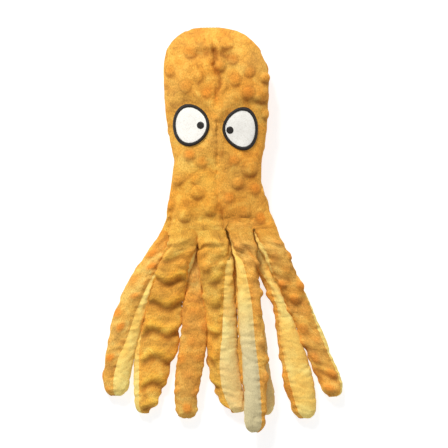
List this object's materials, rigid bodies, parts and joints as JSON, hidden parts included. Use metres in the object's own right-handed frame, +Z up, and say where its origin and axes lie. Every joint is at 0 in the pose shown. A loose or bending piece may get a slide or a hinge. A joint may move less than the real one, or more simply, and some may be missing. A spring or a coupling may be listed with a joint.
{
  "type": "soft octopus toy",
  "caption": "Floppy unstuffed octopus toy of dimpled orange plush with long tentacles, smooth yellow undersides and wide cartoon eyes, holding a squeaker and crinkle film.",
  "frame": {"origin": "on the floor under the middle of the whole toy, which lies flat on its back", "axes": "+Z up off the floor, +Y to the crown of the head, tentacles to -Y, +X to the right of someone who looks down on the face"},
  "size_m": [0.1957, 0.3305, 0.0379],
  "materials": {
    "dimple_plush": "dimpled short pile",
    "smooth_plush": "smooth short pile",
    "white_felt": "felt",
    "black_thread": "satin stitch",
    "pocket_cloth": "thin unwoven cloth",
    "crinkle_film": "clear film",
    "squeaker_plastic": "moulded",
    "reed_film": "thin sheet"
  },
  "bodies": {
    "head": {"head_front_left_gore": "dimple_plush", "head_front_right_gore": "dimple_plush", "head_back_left_gore": "dimple_plush", "head_back_right_gore": "dimple_plush", "base_panel": "smooth_plush", "eye_left_white": "white_felt", "eye_left_outline": "black_thread", "eye_left_pupil": "black_thread", "eye_right_white": "white_felt", "eye_right_outline": "black_thread", "eye_right_pupil": "black_thread", "squeaker_pocket": "pocket_cloth", "squeaker_cup": "squeaker_plastic", "squeaker_reed_tube": "squeaker_plastic", "squeaker_reed": "reed_film"},
    "squeaker_cap": {"squeaker_cap": "squeaker_plastic"},
    "tentacle_1_upper": {"tentacle_1_upper_cover": "dimple_plush", "tentacle_1_upper_underside": "smooth_plush"},
    "tentacle_1_lower": {"tentacle_1_lower_cover": "dimple_plush", "tentacle_1_lower_underside": "smooth_plush", "tentacle_1_crinkle_strip": "crinkle_film"},
    "tentacle_2_upper": {"tentacle_2_upper_cover": "dimple_plush", "tentacle_2_upper_underside": "smooth_plush"},
    "tentacle_2_lower": {"tentacle_2_lower_cover": "dimple_plush", "tentacle_2_lower_underside": "smooth_plush", "tentacle_2_crinkle_strip": "crinkle_film"},
    "tentacle_3_upper": {"tentacle_3_upper_cover": "dimple_plush", "tentacle_3_upper_underside": "smooth_plush"},
    "tentacle_3_lower": {"tentacle_3_lower_cover": "dimple_plush", "tentacle_3_lower_underside": "smooth_plush", "tentacle_3_crinkle_strip": "crinkle_film"},
    "tentacle_4_upper": {"tentacle_4_upper_cover": "dimple_plush", "tentacle_4_upper_underside": "smooth_plush"},
    "tentacle_4_lower": {"tentacle_4_lower_cover": "dimple_plush", "tentacle_4_lower_underside": "smooth_plush", "tentacle_4_crinkle_strip": "crinkle_film"},
    "tentacle_5_upper": {"tentacle_5_upper_cover": "dimple_plush", "tentacle_5_upper_underside": "smooth_plush"},
    "tentacle_5_lower": {"tentacle_5_lower_cover": "dimple_plush", "tentacle_5_lower_underside": "smooth_plush", "tentacle_5_crinkle_strip": "crinkle_film"},
    "tentacle_6_upper": {"tentacle_6_upper_cover": "dimple_plush", "tentacle_6_upper_underside": "smooth_plush"},
    "tentacle_6_lower": {"tentacle_6_lower_cover": "dimple_plush", "tentacle_6_lower_underside": "smooth_plush", "tentacle_6_crinkle_strip": "crinkle_film"},
    "tentacle_7_upper": {"tentacle_7_upper_cover": "dimple_plush", "tentacle_7_upper_underside": "smooth_plush"},
    "tentacle_7_lower": {"tentacle_7_lower_cover": "dimple_plush", "tentacle_7_lower_underside": "smooth_plush", "tentacle_7_crinkle_strip": "crinkle_film"},
    "tentacle_8_upper": {"tentacle_8_upper_cover": "dimple_plush", "tentacle_8_upper_underside": "smooth_plush"},
    "tentacle_8_lower": {"tentacle_8_lower_cover": "dimple_plush", "tentacle_8_lower_underside": "smooth_plush", "tentacle_8_crinkle_strip": "crinkle_film"}
  },
  "joints": [
    {"name": "tentacle_1_root_fold", "type": "hinge", "parent": "head", "child": "tentacle_1_upper", "pos_m": [-0.0457, -0.01, 0.0065], "axis": [1, 0, 0], "range_deg": [0, 100]},
    {"name": "tentacle_1_middle_fold", "type": "hinge", "parent": "tentacle_1_upper", "child": "tentacle_1_lower", "pos_m": [-0.075, -0.065, 0.0065], "axis": [1, 0, 0], "range_deg": [-45, 90]},
    {"name": "tentacle_2_root_fold", "type": "hinge", "parent": "head", "child": "tentacle_2_upper", "pos_m": [-0.0338, -0.01, 0.02], "axis": [-1, 0, 0], "range_deg": [0, 100]},
    {"name": "tentacle_2_middle_fold", "type": "hinge", "parent": "tentacle_2_upper", "child": "tentacle_2_lower", "pos_m": [-0.0484, -0.065, 0.0091], "axis": [-1, 0, 0], "range_deg": [-45, 90]},
    {"name": "tentacle_3_root_fold", "type": "hinge", "parent": "head", "child": "tentacle_3_upper", "pos_m": [-0.0225, -0.01, 0.0065], "axis": [1, 0, 0], "range_deg": [0, 100]},
    {"name": "tentacle_3_middle_fold", "type": "hinge", "parent": "tentacle_3_upper", "child": "tentacle_3_lower", "pos_m": [-0.0248, -0.065, 0.0065], "axis": [1, 0, 0], "range_deg": [-45, 90]},
    {"name": "tentacle_4_root_fold", "type": "hinge", "parent": "head", "child": "tentacle_4_upper", "pos_m": [-0.0078, -0.01, 0.02], "axis": [-1, 0, 0], "range_deg": [0, 100]},
    {"name": "tentacle_4_middle_fold", "type": "hinge", "parent": "tentacle_4_upper", "child": "tentacle_4_lower", "pos_m": [-0.0029, -0.065, 0.0091], "axis": [-1, 0, 0], "range_deg": [-45, 90]},
    {"name": "tentacle_5_root_fold", "type": "hinge", "parent": "head", "child": "tentacle_5_upper", "pos_m": [0.016, -0.01, 0.02], "axis": [-1, 0, 0], "range_deg": [0, 100]},
    {"name": "tentacle_5_middle_fold", "type": "hinge", "parent": "tentacle_5_upper", "child": "tentacle_5_lower", "pos_m": [0.022, -0.065, 0.02], "axis": [-1, 0, 0], "range_deg": [0, 90]},
    {"name": "tentacle_6_root_fold", "type": "hinge", "parent": "head", "child": "tentacle_6_upper", "pos_m": [0.0037, -0.01, 0.0065], "axis": [1, 0, 0], "range_deg": [0, 100]},
    {"name": "tentacle_6_middle_fold", "type": "hinge", "parent": "tentacle_6_upper", "child": "tentacle_6_lower", "pos_m": [0.0213, -0.065, 0.0065], "axis": [1, 0, 0], "range_deg": [0, 90]},
    {"name": "tentacle_7_root_fold", "type": "hinge", "parent": "head", "child": "tentacle_7_upper", "pos_m": [0.0267, -0.01, 0.0061], "axis": [1, 0, 0], "range_deg": [0, 100]},
    {"name": "tentacle_7_middle_fold", "type": "hinge", "parent": "tentacle_7_upper", "child": "tentacle_7_lower", "pos_m": [0.0436, -0.065, 0.0061], "axis": [1, 0, 0], "range_deg": [-45, 90]},
    {"name": "tentacle_8_root_fold", "type": "hinge", "parent": "head", "child": "tentacle_8_upper", "pos_m": [0.0372, -0.01, 0.02], "axis": [-1, 0, 0], "range_deg": [0, 100]},
    {"name": "tentacle_8_middle_fold", "type": "hinge", "parent": "tentacle_8_upper", "child": "tentacle_8_lower", "pos_m": [0.062, -0.065, 0.0093], "axis": [-1, 0, 0], "range_deg": [-45, 90]},
    {"name": "squeaker_press", "type": "slide", "parent": "head", "child": "squeaker_cap", "axis": [0, 0, -1], "range_m": [0, 0.0055], "stiffness_N_per_m": 300}
  ]
}
